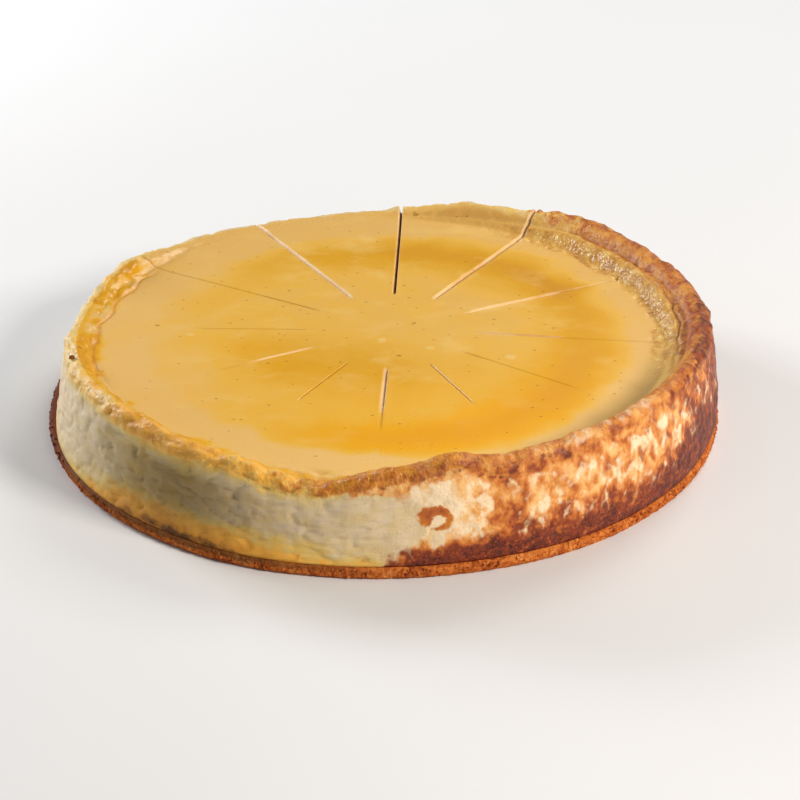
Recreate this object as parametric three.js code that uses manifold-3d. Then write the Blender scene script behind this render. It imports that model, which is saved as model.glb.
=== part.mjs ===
// A whole baked cheesecake: a set custard filling on a thin biscuit base, marked into twelve portions.
// Millimetres, +Z up. The origin is the middle of the base's underside, on the surface it stands on.
// Azimuths are in degrees from +X, anticlockwise from above, so the front, at -Y, is 270.

import * as THREE from "three";
import { mergeVertices } from "three/addons/utils/BufferGeometryUtils.js";
import Module from "manifold-3d";

// Overall
const CAKE_RADIUS = 128.5; // the biscuit base, which is the widest part
const BASE_SLIP = 0.8; // how far the base shows further out on the low side than on the tall one
// Stretches where the base's edge stands further out or in than that
const BASE_BULGES = [
  { at: 190, spread: 15, rise: -0.6 },
  { at: 243, spread: 22, rise: 1 },
];
const BASE_THICKNESS = 4.6;
const BASE_EDGE = { chamfer: 1, shoulder: 1.2, lean: 0.2 }; // how its edge rounds off below and above
const LAYER_GAP = 0.3; // keeps the faces of the two layers apart
const COLUMNS = 120; // facets round the cake
const TALL_SIDE = 335; // azimuth of the side that rose highest and browned most

// Filling
const CUSTARD_LEVEL = 31.5; // the smooth top, which sank below its rim as it cooled
const WALL_LINE = { radius: 126, swing: 1.6 }; // where the leaning side would meet the base
const FOOT_INSET = 0.6; // from the base's edge in to the foot of the side, which flares out to it
const BARE_LEDGE = { at: 182, spread: 16, rise: 2 }; // the stretch where the base shows from above
const FOOT_FLARE = 5; // the higher, the closer to the foot the flare starts
const RIM_CREST = { radius: 118.4, swing: 1.2, height: 37.2, rise: 4.3 }; // swing, rise: more on the tall side
const WALL_BELLY = 0.8; // how far the side bulges out between its foot and its shoulder
const WALL_STEPS = 6;
const RIM_HALF_WIDTH = 4; // of the rolled rim, from its crest to where it turns down
const RIM_STEPS = 5;
const LEDGE_INSET = 5; // from the crest in to the foot of the rim's inner side
const LEDGE_SHARE = 0.35; // height of that foot, as a share of the rim's own height
const POOL_RADIUS = 110; // edge of the smooth custard
const POOL_FILLET = { width: 6, rise: 0.3 }; // how the custard's edge creeps up towards the rim
const RIPPLE = { crest: 0.5, height: 0.4, foot: 0.4, base: 0.5 }; // small waves round the cake

// Stretches where the rim stands higher or lower than its even curve
const RIM_SWELLS = [
  { at: 47, spread: 14, rise: 3.4 },
  { at: 72, spread: 8, rise: 2.3 },
  { at: 102, spread: 24, rise: -3.4 },
  { at: 152, spread: 10, rise: 3.3 },
  { at: 212, spread: 20, rise: 4 },
  { at: 257, spread: 9, rise: -5.5 },
  { at: 281, spread: 5, rise: 3.5 },
  { at: 320, spread: 15, rise: 1.5 },
];
// Where the custard shrank back and left a shelf inside the rim
const SHELF = { at: 18, spread: 42, width: 6, rise: 2.2 };

// Portion cuts, made by hand from a hub that lies a little off the cake's middle
const CUT_HUB = { x: 2.7, y: 3.5 };
const CUT_START = 34; // from the hub to where each cut begins
const CUT_WIDTH = 1.2;
const CUT_DEPTH = 6;
const BLADE_RISE = 20; // how far the knife's blade stands above the custard, clear of the rim
const CUT_THROUGH = CAKE_RADIUS + 9; // a cut that notches the rim runs on past it
// Each cut's direction, and how far from the hub it reaches, clockwise from the back
const CUTS = [
  { at: 87.7, reach: CUT_THROUGH },
  { at: 58, reach: CUT_THROUGH },
  { at: 26.3, reach: 110 },
  { at: -7, reach: 102 },
  { at: -36.5, reach: 85 },
  { at: -64.5, reach: 68 },
  { at: -93, reach: 83 },
  { at: -120.3, reach: 68 },
  { at: -152, reach: 73 },
  { at: -180.8, reach: 74 },
  { at: -211.3, reach: CUT_THROUGH },
  { at: -240.8, reach: CUT_THROUGH },
];

const FILLING_FOOT = BASE_THICKNESS + LAYER_GAP;

const radians = THREE.MathUtils.degToRad;

// Smallest turn from one azimuth to another, in degrees
function turnBetween(a, b) {
  return THREE.MathUtils.euclideanModulo(a - b + 180, 360) - 180;
}

// A smooth hump of height 1 at an azimuth
function hump(azimuth, { at, spread }) {
  return Math.exp(-((turnBetween(azimuth, at) / spread) ** 2));
}

// Gentle waves round the cake, between about -1 and 1, different for each seed
function waviness(azimuth, seed) {
  const turn = radians(azimuth);
  return (
    0.5 * Math.sin(3 * turn + seed) +
    0.3 * Math.sin(7 * turn + 2.1 * seed) +
    0.2 * Math.sin(13 * turn + 3.7 * seed)
  );
}

function towardsTallSide(azimuth) {
  return Math.cos(radians(azimuth - TALL_SIDE));
}

function crestRadius(azimuth) {
  const even = RIM_CREST.radius + RIM_CREST.swing * towardsTallSide(azimuth);
  return even + RIPPLE.crest * waviness(azimuth, 1);
}

function crestHeight(azimuth) {
  const even = RIM_CREST.height + RIM_CREST.rise * towardsTallSide(azimuth);
  const swells = RIM_SWELLS.reduce((sum, swell) => sum + swell.rise * hump(azimuth, swell), 0);
  return even + swells + RIPPLE.height * waviness(azimuth, 2);
}

function poolRadius(azimuth) {
  return POOL_RADIUS - SHELF.width * hump(azimuth, SHELF);
}

function baseEdge(azimuth) {
  const even = CAKE_RADIUS - BASE_SLIP * towardsTallSide(azimuth);
  const bulges = BASE_BULGES.reduce((sum, bulge) => sum + bulge.rise * hump(azimuth, bulge), 0);
  return even + bulges + RIPPLE.base * waviness(azimuth, 4);
}

// The side, from its foot (share 0) to the rim's shoulder (share 1): it leans in, bulges a little, and
// flares out to the base's edge at its foot
function wallPoint(azimuth, share) {
  const line =
    WALL_LINE.radius + WALL_LINE.swing * towardsTallSide(azimuth) + RIPPLE.foot * waviness(azimuth, 3);
  const foot = baseEdge(azimuth) - FOOT_INSET - BARE_LEDGE.rise * hump(azimuth, BARE_LEDGE);
  const shoulder = crestRadius(azimuth) + RIM_HALF_WIDTH;
  const top = crestHeight(azimuth) - RIM_HALF_WIDTH;
  const leaning = THREE.MathUtils.lerp(line, shoulder, share) + WALL_BELLY * Math.sin(Math.PI * share);
  const flare = (foot - line) * (1 - share) ** FOOT_FLARE;
  return new THREE.Vector2(leaning + flare, THREE.MathUtils.lerp(FILLING_FOOT, top, share));
}

// The rolled rim, a half round that starts at the shoulder and ends short of the custard
function rimPoint(azimuth, share) {
  const angle = Math.PI * share;
  return new THREE.Vector2(
    crestRadius(azimuth) + RIM_HALF_WIDTH * Math.cos(angle),
    crestHeight(azimuth) - RIM_HALF_WIDTH * (1 - Math.sin(angle)),
  );
}

// The filling's outline at one azimuth, from the middle of its underside to the middle of its top
function fillingProfile(azimuth) {
  const points = [new THREE.Vector2(0, FILLING_FOOT)];
  for (let step = 0; step < WALL_STEPS; step++) points.push(wallPoint(azimuth, step / WALL_STEPS));
  const crest = crestHeight(azimuth);
  const ledge =
    CUSTARD_LEVEL + LEDGE_SHARE * Math.max(0, crest - CUSTARD_LEVEL) + SHELF.rise * hump(azimuth, SHELF);
  for (let step = 0; step < RIM_STEPS; step++) {
    const point = rimPoint(azimuth, step / RIM_STEPS);
    const inside = point.x < crestRadius(azimuth);
    points.push(inside ? new THREE.Vector2(point.x, Math.max(point.y, ledge)) : point);
  }
  const pool = poolRadius(azimuth);
  points.push(new THREE.Vector2(crestRadius(azimuth) - LEDGE_INSET, ledge));
  points.push(new THREE.Vector2(pool, CUSTARD_LEVEL + POOL_FILLET.rise));
  points.push(new THREE.Vector2(pool - POOL_FILLET.width, CUSTARD_LEVEL));
  points.push(new THREE.Vector2(pool / 2, CUSTARD_LEVEL));
  points.push(new THREE.Vector2(0, CUSTARD_LEVEL));
  return points;
}

// The base's outline at one azimuth: a flat disc with a rounded, slightly ragged edge
function baseProfile(azimuth) {
  const edge = baseEdge(azimuth);
  return [
    [0, 0],
    [edge - BASE_EDGE.chamfer, 0],
    [edge, 0.3 * BASE_THICKNESS],
    [edge - BASE_EDGE.lean, 0.7 * BASE_THICKNESS],
    [edge - BASE_EDGE.shoulder, BASE_THICKNESS],
    [0, BASE_THICKNESS],
  ].map(([radius, height]) => new THREE.Vector2(radius, height));
}

// A lathed solid whose outline changes as it goes round: each column of vertices takes its own profile
function unevenLathe(profile) {
  const geometry = new THREE.LatheGeometry(profile(0), COLUMNS);
  const stations = profile(0).length;
  const position = geometry.getAttribute("position");
  for (let column = 0; column <= COLUMNS; column++) {
    const azimuth = (360 * (column % COLUMNS)) / COLUMNS;
    profile(azimuth).forEach((point, station) => {
      const x = point.x * Math.cos(radians(azimuth));
      const y = point.x * Math.sin(radians(azimuth));
      position.setXYZ(column * stations + station, x, y, point.y);
    });
  }
  return geometry;
}

// The knife's shape: a straight slot above the custard and a V below it, as long as the cut
function knifeBlade(reach) {
  const top = CUSTARD_LEVEL + BLADE_RISE;
  const half = CUT_WIDTH / 2;
  const section = new THREE.Shape([
    new THREE.Vector2(-half, top),
    new THREE.Vector2(-half, CUSTARD_LEVEL),
    new THREE.Vector2(0, CUSTARD_LEVEL - CUT_DEPTH),
    new THREE.Vector2(half, CUSTARD_LEVEL),
    new THREE.Vector2(half, top),
  ]);
  const length = reach - CUT_START;
  const blade = new THREE.ExtrudeGeometry(section, { depth: length, bevelEnabled: false });
  blade.rotateX(Math.PI / 2); // the section stands up, and the blade runs along -Y
  blade.translate(0, -CUT_START, 0);
  return blade.rotateZ(Math.PI / 2); // and now along +X
}

const wasm = await Module();
wasm.setup();

function toSolid(geometry) {
  const bare = geometry.clone();
  bare.deleteAttribute("normal");
  bare.deleteAttribute("uv");
  const merged = mergeVertices(bare);
  return new wasm.Manifold(
    new wasm.Mesh({
      numProp: 3,
      vertProperties: new Float32Array(merged.getAttribute("position").array),
      triVerts: new Uint32Array(merged.index.array),
    }),
  );
}

function toGeometry(solid) {
  const mesh = solid.getMesh();
  return new THREE.BufferGeometry()
    .setAttribute("position", new THREE.BufferAttribute(mesh.vertProperties, 3))
    .setIndex(new THREE.BufferAttribute(mesh.triVerts, 1));
}

function cutFilling() {
  let solid = toSolid(unevenLathe(fillingProfile));
  for (const { at, reach } of CUTS) {
    const blade = knifeBlade(reach).rotateZ(radians(at)).translate(CUT_HUB.x, CUT_HUB.y, 0);
    solid = solid.subtract(toSolid(blade));
  }
  return toGeometry(solid);
}

function namedMesh(name, geometry, material) {
  const mesh = new THREE.Mesh(geometry, material);
  mesh.name = name;
  geometry.computeVertexNormals();
  return mesh;
}

const bakedCustard = new THREE.MeshStandardMaterial({ color: 0xe6b455, roughness: 0.42, metalness: 0 });
const biscuit = new THREE.MeshStandardMaterial({ color: 0xb8713a, roughness: 0.85, metalness: 0 });

const cheesecake = new THREE.Group();
cheesecake.add(namedMesh("custard_filling", cutFilling(), bakedCustard));
cheesecake.add(namedMesh("biscuit_base", unevenLathe(baseProfile), biscuit));

export default cheesecake;
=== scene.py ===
"""A baked cheesecake: a golden custard with a browned rim and side, on a thin biscuit base."""

import math
from functools import partial

import bpy
import numpy as np
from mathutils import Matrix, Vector, noise


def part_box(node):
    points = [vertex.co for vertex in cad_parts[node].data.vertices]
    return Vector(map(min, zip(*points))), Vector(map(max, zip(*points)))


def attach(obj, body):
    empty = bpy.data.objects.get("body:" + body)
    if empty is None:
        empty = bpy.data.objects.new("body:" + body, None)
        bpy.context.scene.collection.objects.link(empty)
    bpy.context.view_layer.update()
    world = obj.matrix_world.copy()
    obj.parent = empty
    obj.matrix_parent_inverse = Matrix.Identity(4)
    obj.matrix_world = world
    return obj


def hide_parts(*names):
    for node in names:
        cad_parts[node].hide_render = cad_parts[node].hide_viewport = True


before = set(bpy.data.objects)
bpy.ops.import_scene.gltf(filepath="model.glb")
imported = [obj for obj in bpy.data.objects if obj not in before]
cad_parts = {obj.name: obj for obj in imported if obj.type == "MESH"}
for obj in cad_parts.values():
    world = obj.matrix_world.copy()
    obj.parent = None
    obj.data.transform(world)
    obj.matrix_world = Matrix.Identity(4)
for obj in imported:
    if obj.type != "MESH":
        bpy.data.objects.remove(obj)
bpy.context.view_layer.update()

bl_info = {
    "name": "Baked Cheesecake",
    "version": (1, 0, 0),
    "blender": (4, 5, 0),
    "location": "3D View > Sidebar > Cheesecake",
    "description": "Builds a whole baked cheesecake with its custard, browned side, biscuit base and crumbs",
    "category": "Add Mesh",
}

MM = 0.001
BASE_LOW, BASE_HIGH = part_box("biscuit_base")


def linear(hex_colour):
    """The linear RGBA of an sRGB hex colour."""
    channels = [int(hex_colour[i:i + 2], 16) / 255 for i in (1, 3, 5)]
    return (*[c / 12.92 if c <= 0.04045 else ((c + 0.055) / 1.055) ** 2.4 for c in channels], 1.0)


SHORT_NAMES = {  # what a node is called below: its type, and the settings that it always has here
    "mix": ("ShaderNodeMix", {"data_type": "RGBA"}),
    "ramp": ("ShaderNodeValToRGB", {}),
    "step": ("ShaderNodeMapRange", {"interpolation_type": "SMOOTHSTEP"}),
    "noise": ("ShaderNodeTexNoise", {}),
    "cells": ("ShaderNodeTexVoronoi", {}),
    "mapping": ("ShaderNodeMapping", {}),
    "coordinates": ("ShaderNodeTexCoord", {}),
    "attribute": ("ShaderNodeAttribute", {}),
    "bump": ("ShaderNodeBump", {}),
    "channels": ("ShaderNodeSeparateColor", {}),
    "separate": ("ShaderNodeSeparateXYZ", {}),
    "combine": ("ShaderNodeCombineXYZ", {}),
    "scaled": ("ShaderNodeVectorMath", {"operation": "SCALE"}),
    "random": ("FunctionNodeRandomValue", {}),
}


def fill(tree, owner, inputs):
    """Sets a node's inputs, by name or index, or links them to an output or to a node's first output."""
    for name, value in inputs.items():
        if isinstance(value, bpy.types.Node):
            value = next(output for output in value.outputs if output.enabled)
        if isinstance(value, bpy.types.NodeSocket):
            tree.links.new(value, owner.inputs[name])
        else:
            owner.inputs[name].default_value = value


def node(tree, kind, *values, **settings):
    """Adds a node with its settings and links, and returns it.

    kind is a short name, a type or, in capitals, a math node's operation. The values go to its inputs in
    order, a dict gives inputs by name, and pairs of a position and a colour are the stops of a ramp.
    """
    full_name, usual = SHORT_NAMES.get(kind, (kind, {}))
    if kind.isupper():
        full_name, usual = "ShaderNodeMath", {"operation": kind}
    new = tree.nodes.new(full_name)
    for name, value in {**usual, **settings}.items():
        setattr(new, name, value)
    stops, in_order, inputs = [], [], {}
    for value in values:
        if isinstance(value, dict):
            inputs = value
        elif isinstance(value, tuple) and len(value) == 2:
            stops.append(value)
        else:
            in_order.append(value)
    in_use = [i for i, socket in enumerate(new.inputs) if socket.enabled]
    fill(tree, new, {**dict(zip(in_use, in_order)), **inputs})
    if stops:
        elements = new.color_ramp.elements
        while len(elements) < len(stops):
            elements.new(1.0)
        for element, (position, colour) in zip(elements, stops):
            element.position = position
            element.color = colour
    return new


def colour_property(name, description, hex_colour):
    return bpy.props.FloatVectorProperty(
        name=name, description=description, subtype="COLOR", size=4, min=0, max=1,
        default=linear(hex_colour))


def length_property(name, description, millimetres):
    return bpy.props.FloatProperty(
        name=name, description=description, subtype="DISTANCE", unit="LENGTH", min=0,
        default=millimetres * MM)


def power_property(name, place, watts):
    return bpy.props.FloatProperty(
        name=name, description="Power of the light at the " + place, subtype="POWER", unit="POWER", min=0,
        default=watts)


# ---------------------------------------------------------------------------------------------------------
# The filling's form. Lengths here are in millimetres, and azimuths in degrees from +X, anticlockwise, as in
# the model that the frame was made from.

FOOT = BASE_HIGH.z / MM + 0.02  # the custard lies on the biscuit
TALL_SIDE = 335
WAVES = ((3, 0.5, 1.0), (7, 0.3, 2.1), (13, 0.2, 3.7))  # waves round the cake, height and phase
BASE_EDGE = {"radius": 128.5, "slip": 0.8, "ripple": 0.5, "seed": 4}
BISCUIT_GRAIN = {"patch": 7, "crumb": 0.9, "sand": 0.5}
# Small bubble marks on the top, each a slight bump with a painted highlight laid over it
BUBBLES = [(-1, -6, 2.4), (17, -13, 2.0), (47, -21, 2.4), (-74, -1, 1.8)]  # x, y and size, on the top
BASE_BULGES = [(190, 15, -0.6), (243, 22, 1.0)]  # azimuth, spread, rise
WALL_LINE = {"radius": 126, "swing": 1.6}
FOOT_INSET = 0.6
BARE_LEDGE = {"at": 182, "spread": 16, "rise": 2}
FOOT_FLARE = 5
FOOT_ROUNDING = 0.8
FOOT_TUCK = 0.5
RIM_CREST = {"radius": 118.4, "swing": 1.2, "height": 37.2, "rise": 4.3}
WALL_BELLY = 0.8
LEDGE_INSET = 5
LEDGE_SHARE = 0.35
POOL_RADIUS = 110
POOL_EDGE = 100.0  # where the rows of the rim's inside end and those of the pool begin
POOL_FILLET = {"width": 6, "rise": 0.3}
RIPPLE = {"crest": 0.5, "height": 0.4, "foot": 0.4}
RIM_SWELLS = [  # azimuth, spread, rise
    (47, 14, 3.4), (72, 8, 2.3), (102, 24, -3.4), (152, 10, 3.3),
    (212, 20, 4), (257, 9, -5.5), (281, 5, 3.5), (320, 15, 1.5),
]
SHELF = {"at": 18, "spread": 42, "width": 6, "rise": 2.2}

CUT_HUB = (2.7, 3.5)
CUT_START = 34
CUT_THROUGH = 140
# Each cut, clockwise from the back: direction, reach from the hub, half widths of its anticlockwise and
# clockwise walls, depth, and the distance at which it closes to a hairline
CUTS = [
    (87.7, CUT_THROUGH, 0.90, 0.45, 4.2, 200),
    (58.0, CUT_THROUGH, 1.60, 0.35, 2.6, 200),
    (26.3, 110, 1.40, 0.30, 2.2, 72),
    (-7.0, 102, 1.15, 0.25, 1.6, 64),
    (-36.5, 85, 0.55, 0.25, 0.6, 44),
    (-64.5, 68, 0.35, 0.40, 1.8, 200),
    (-93.0, 83, 0.40, 1.20, 0.8, 66),
    (-120.3, 68, 0.35, 0.40, 1.5, 200),
    (-152.0, 73, 0.25, 0.90, 1.2, 60),
    (-180.8, 74, 0.20, 0.30, 0.7, 200),
    (-211.3, CUT_THROUGH, 0.30, 0.50, 1.1, 60),
    (-240.8, CUT_THROUGH, 0.40, 1.35, 1.8, 200),
]
COLUMNS_PER_CUT = 60
LIP_COLUMNS = (0.25, 0.6, 1.3, 2.4)  # how far past the lip its columns lie
EDGE_COLUMNS = 2 + len(LIP_COLUMNS)  # columns on each side of a cut that follow its lips
NEAREST = {"line": 6, "lip": 12}  # smallest radii at which a cut's line and its lips are worked out


def smoothstep(low, high, value):
    t = np.clip((value - low) / (high - low), 0, 1)
    return t * t * (3 - 2 * t)


def turn_between(a, b):
    return np.mod(a - b + 180, 360) - 180


def hump(azimuth, at, spread):
    return np.exp(-((turn_between(azimuth, at) / spread) ** 2))


def waviness(azimuth, seed):
    turn = np.radians(azimuth)
    return sum(height * np.sin(waves * turn + phase * seed) for waves, height, phase in WAVES)


def towards_tall_side(azimuth):
    return np.cos(np.radians(azimuth - TALL_SIDE))


def crest_radius(azimuth):
    radius = RIM_CREST["radius"] + RIM_CREST["swing"] * towards_tall_side(azimuth)
    return radius + RIPPLE["crest"] * waviness(azimuth, 1)


def crest_height(azimuth):
    height = RIM_CREST["height"] + RIM_CREST["rise"] * towards_tall_side(azimuth)
    for at, spread, rise in RIM_SWELLS:
        height = height + rise * hump(azimuth, at, spread)
    return height + RIPPLE["height"] * waviness(azimuth, 2)


def lumps(points, size, octaves=3, seed=0.0, stretch=(1, 1, 1)):
    """Soft random relief between about -1 and 1 at some points, with lumps of a size in millimetres."""
    scale = np.array(stretch, float) * size
    shifted = points.reshape(-1, 3) / scale + seed * 17.3
    values = [noise.fractal(p, 0.9, 2.1, octaves, noise_basis="PERLIN_ORIGINAL") for p in shifted.tolist()]
    return np.array(values).reshape(points.shape[:-1])


def creases(points, size, stretch=(1, 1, 1), seed=0.0):
    """Thin folds, 1 along their lines and 0 between them."""
    shifted = points.reshape(-1, 3) / (np.array(stretch, float) * size) + seed * 11.7
    values = [noise.noise(p, noise_basis="PERLIN_ORIGINAL") for p in shifted.tolist()]
    return np.exp(-((np.array(values) / 0.07) ** 2)).reshape(points.shape[:-1])


def pits(points, size, width, seed=0.0):
    """Round hollows, one to a cell of this size in about half of the cells."""
    shifted = points.reshape(-1, 3) / size + seed * 7.9
    found = [noise.voronoi(p) for p in shifted.tolist()]
    distance = np.array([f[0][0] for f in found]) * size
    chosen = np.array([noise.cell(f[1][0] * 3.1) > 0.0 for f in found])
    return (np.exp(-((distance / width) ** 2)) * chosen).reshape(points.shape[:-1])


def cut_azimuth(cut, radius):
    """The azimuth at which a cut's line crosses a circle round the cake's middle."""
    direction = math.radians(cut[0])
    dx, dy = math.cos(direction), math.sin(direction)
    along = CUT_HUB[0] * dx + CUT_HUB[1] * dy
    inside = CUT_HUB[0] ** 2 + CUT_HUB[1] ** 2
    travel = -along + np.sqrt(along ** 2 - inside + np.maximum(radius, NEAREST["line"]) ** 2)
    met = np.degrees(np.arctan2(CUT_HUB[1] + travel * dy, CUT_HUB[0] + travel * dx))
    return cut[0] + turn_between(met, cut[0])


def lip_offsets(half_width):
    """How far from a cut's bottom its columns lie, on one side."""
    return [0, 0.5 * half_width, half_width] + [half_width + past for past in LIP_COLUMNS]


class Cuts:
    """Lays the mesh's columns along the cuts, and says how deep the cuts are."""

    def __init__(self):
        self.columns = len(CUTS) * COLUMNS_PER_CUT
        self.even = CUTS[0][0] - 360 * np.arange(self.columns) / self.columns

    def azimuths(self, radius, follow):
        """The azimuth of each vertex. radius and follow have a row for each station and a column each."""
        result = np.empty_like(radius)
        for k, cut in enumerate(CUTS):
            following = CUTS[(k + 1) % len(CUTS)]
            for i in range(COLUMNS_PER_CUT):
                c = k * COLUMNS_PER_CUT + i
                r = radius[:, c]
                start = cut_azimuth(cut, r)
                sector = np.mod(start - cut_azimuth(following, r), 360)
                left = COLUMNS_PER_CUT - i
                reach = np.maximum(r, NEAREST["lip"])
                near = np.degrees(lip_offsets(cut[3])[min(i, EDGE_COLUMNS)] / reach)
                far = sector - np.degrees(lip_offsets(following[2])[min(left, EDGE_COLUMNS)] / reach)
                if i <= EDGE_COLUMNS:
                    turn = near
                elif left <= EDGE_COLUMNS:
                    turn = far
                else:
                    share = (i - EDGE_COLUMNS) / (COLUMNS_PER_CUT - 2 * EDGE_COLUMNS)
                    turn = near + (far - near) * share
                even = self.even[c]
                result[:, c] = even + turn_between(start - turn, even) * follow[:, c]
        return result

    def depths(self, x, y):
        """How deep the cuts go, where they show flesh and shade, and how far their lips rise."""
        depth, flesh, slit, lip = (np.zeros_like(x) for _ in range(4))
        for at, reach, wide_left, wide_right, deep, closing in CUTS:
            dx, dy = math.cos(math.radians(at)), math.sin(math.radians(at))
            px, py = x - CUT_HUB[0], y - CUT_HUB[1]
            along = px * dx + py * dy
            aside = -px * dy + py * dx  # positive on the anticlockwise side
            width = np.where(aside > 0, wide_left, wide_right)
            open_share = 1 - 0.75 * smoothstep(closing - 8, closing + 8, along)
            ends = smoothstep(CUT_START - 1.5, CUT_START + 1.5, along)
            ends = ends * (1 - smoothstep(reach - 6, reach + 1, along))
            across = np.abs(aside) / width
            inside = np.clip(1 - across, 0, 1)
            depth = np.maximum(depth, deep * open_share * ends * inside ** 0.9)
            edge = np.abs(aside) - width
            wide = np.clip((open_share * max(wide_left, wide_right) - 0.5) / 0.4, 0, 1)
            raised = (0.04 + 0.18 * wide) * np.exp(-(((edge - 0.5) / 0.9) ** 2)) * (across > 1)
            lip = np.maximum(lip, raised * ends * open_share)
            flesh = np.maximum(flesh, ends * wide * (1 - smoothstep(-0.25, 0.4, edge)))
            steep = np.where(width < 0.6, 0.55, 0.0) * (across < 1)  # the narrow wall lies in its own shade
            shade = np.clip(inside * 1.5 - 0.45 + steep, 0, 1) * min(1, 0.35 + deep / 7)
            slit = np.maximum(slit, ends * shade)
        return depth, flesh, slit, lip


def inner_height(azimuth, radius):
    """The height of the top inside the crest, before its lumps."""
    level = custard_level()
    crest = crest_height(azimuth)
    shelf = hump(azimuth, SHELF["at"], SHELF["spread"])
    ledge_radius = crest_radius(azimuth) - LEDGE_INSET
    ledge = level + LEDGE_SHARE * np.maximum(0, crest - level) + SHELF["rise"] * shelf
    pool = POOL_RADIUS - SHELF["width"] * shelf
    creep = POOL_FILLET["rise"] * smoothstep(pool - POOL_FILLET["width"], pool, radius)
    climb = np.clip((radius - pool) / (ledge_radius - pool), 0, 1)
    terrace = smoothstep(0, 0.6, climb) * shelf + smoothstep(0, 1, climb) * (1 - shelf)
    lower = level + creep + (ledge - level - POOL_FILLET["rise"]) * terrace
    roll = settings_of("cheesecake_filling").rim_roll / MM
    inward = np.clip((crest_radius(azimuth) - radius) / (roll + 1), 0, 1)
    rolled = crest - (crest - ledge) * (1 - np.sqrt(1 - inward ** 2)) ** 0.8
    return np.maximum(lower, np.where(inward < 1, rolled, lower))


def settings_of(name):
    return getattr(bpy.context.scene, name)


def custard_level():
    return settings_of("cheesecake_filling").custard_level / MM


def bake_of_side(azimuth, height):
    """How far round the cake, how high up and where the side has coloured, and where shade is painted on it.
    """
    turn = np.mod(azimuth - 60, 360) + 60
    crest = crest_height(azimuth)
    near_crest = smoothstep(-6, -1, height - crest)
    starts = 269 + 7 * smoothstep(6, 16, height) - 20 * smoothstep(-13, 0, height - crest)
    browned = smoothstep(starts - 9, starts + 9, turn) * (1 - smoothstep(385, 440, turn))
    scorch_top = 15.5 + 9 * hump(azimuth, 348, 20) + 2 * waviness(azimuth * 2, 5)
    scorch_top = scorch_top - 5 * hump(azimuth, 270, 10)
    scorch = 1 - smoothstep(0.3 * scorch_top, 1.55 * scorch_top, height)
    far_side = smoothstep(336, 352, turn) * (1 - smoothstep(362, 385, turn))
    scorch = np.maximum(scorch, 0.6 * far_side) + 0.36 * smoothstep(318, 336, turn) * (1 - far_side)
    scorch = scorch + 0.2 * hump(azimuth, 290, 4) - 0.3 * hump(azimuth, 266, 8)
    scorch = scorch - 0.7 * hump(azimuth, 279, 7) * smoothstep(9, 15, height)
    low = 1 - smoothstep(8, 17, height)
    # The rise past 210 degrees and the hump at 228 are painted shade, laid on as deeper ochre where the side
    # lies between the lamps; the rest is yellowing from the bake
    ochre = 0.02 + 0.06 * smoothstep(210, 225, turn) + 0.36 * smoothstep(-9, -3, height - crest)
    ochre = ochre + 0.52 * low * hump(azimuth, 238, 22)
    ochre = ochre + 0.24 * (1 - smoothstep(5.5, 9, height)) + 0.2 * hump(azimuth, 228, 17)
    ochre = ochre - 0.22 * hump(azimuth, 112, 30) * smoothstep(-8, -2.5, height - crest)
    under_crest = smoothstep(-9, -5, height - crest) * (1 - smoothstep(-2.2, -0.4, height - crest))
    char = under_crest * (0.35 + 0.75 * hump(azimuth, 282, 18)) + 0.95 * near_crest * hump(azimuth, 352, 24)
    char = np.maximum(char, 0.45 * near_crest * hump(azimuth, 281, 18))
    char = np.maximum(char, 0.6 * near_crest * hump(azimuth, 36, 20))
    # Painted shade on the side below the rim, where it faces neither lamp
    dull = (1 - smoothstep(-12, -6, height - crest)) * hump(azimuth, 234, 17) * smoothstep(5, 18, height)
    # The brown curl that a burst bubble left
    along, up = turn_between(azimuth, 278) * 2.2, height - 21.5
    around = np.degrees(np.arctan2(up, along))
    ring = np.exp(-(((np.hypot(along / 1.4, up) - 3.2) / (1.5 + 1.1 * hump(around, 150, 60))) ** 2))
    curl = ring * (1 - 0.95 * hump(around, 238, 30))
    amber_crest = smoothstep(-6.5, -2.5, height - crest) * hump(azimuth, 272, 19)
    return browned, scorch, ochre, curl, char, dull, amber_crest


def amber_of_top(x, y):
    """How dark the glaze is over the pool, from 0, pale, to 1, deep amber."""
    radius = np.hypot(x, y)
    azimuth = np.degrees(np.arctan2(y, x))
    patches = [  # azimuth, spread, radius, spread, strength
        (60, 75, 78, 15, 0.72),
        (33, 13, 80, 8, 0.28),
        (285, 42, 86, 13, 0.85),
        (330, 30, 76, 14, 0.45),
        (250, 65, 34, 26, 0.35),
        (205, 25, 50, 12, 0.25),
    ]
    value = 0.2 * (1 - smoothstep(60, 100, radius))
    for at, spread, ring, width, strength in patches:
        value = value + strength * hump(azimuth, at, spread) * np.exp(-((radius - ring) / width) ** 2)
    front = hump(azimuth, 285, 45)
    far = 6 * hump(azimuth, 50, 65)
    return value * (1 - smoothstep(86 + 9 * front + far, 94 + 10 * front + far, radius))


def base_edge(azimuth):
    edge = BASE_EDGE["radius"] - BASE_EDGE["slip"] * towards_tall_side(azimuth)
    for at, spread, rise in BASE_BULGES:
        edge = edge + rise * hump(azimuth, at, spread)
    return edge + BASE_EDGE["ripple"] * waviness(azimuth, BASE_EDGE["seed"])


def filling_stations():
    """The stations of the profile: a kind and a share along that kind, from the underside to the top."""
    stations = [("under", s) for s in (0.0, 0.4, 0.8, 0.97)]
    stations += [("wall", s) for s in np.linspace(0, 1, 35)]
    stations += [("shoulder", s) for s in np.linspace(0, 1, 9)[1:]]
    stations += [("inside", s) for s in np.linspace(0, 1, 31)[1:]]
    stations += [("pool", s) for s in np.linspace(0, 1, 51)[1:]]
    return stations


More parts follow.
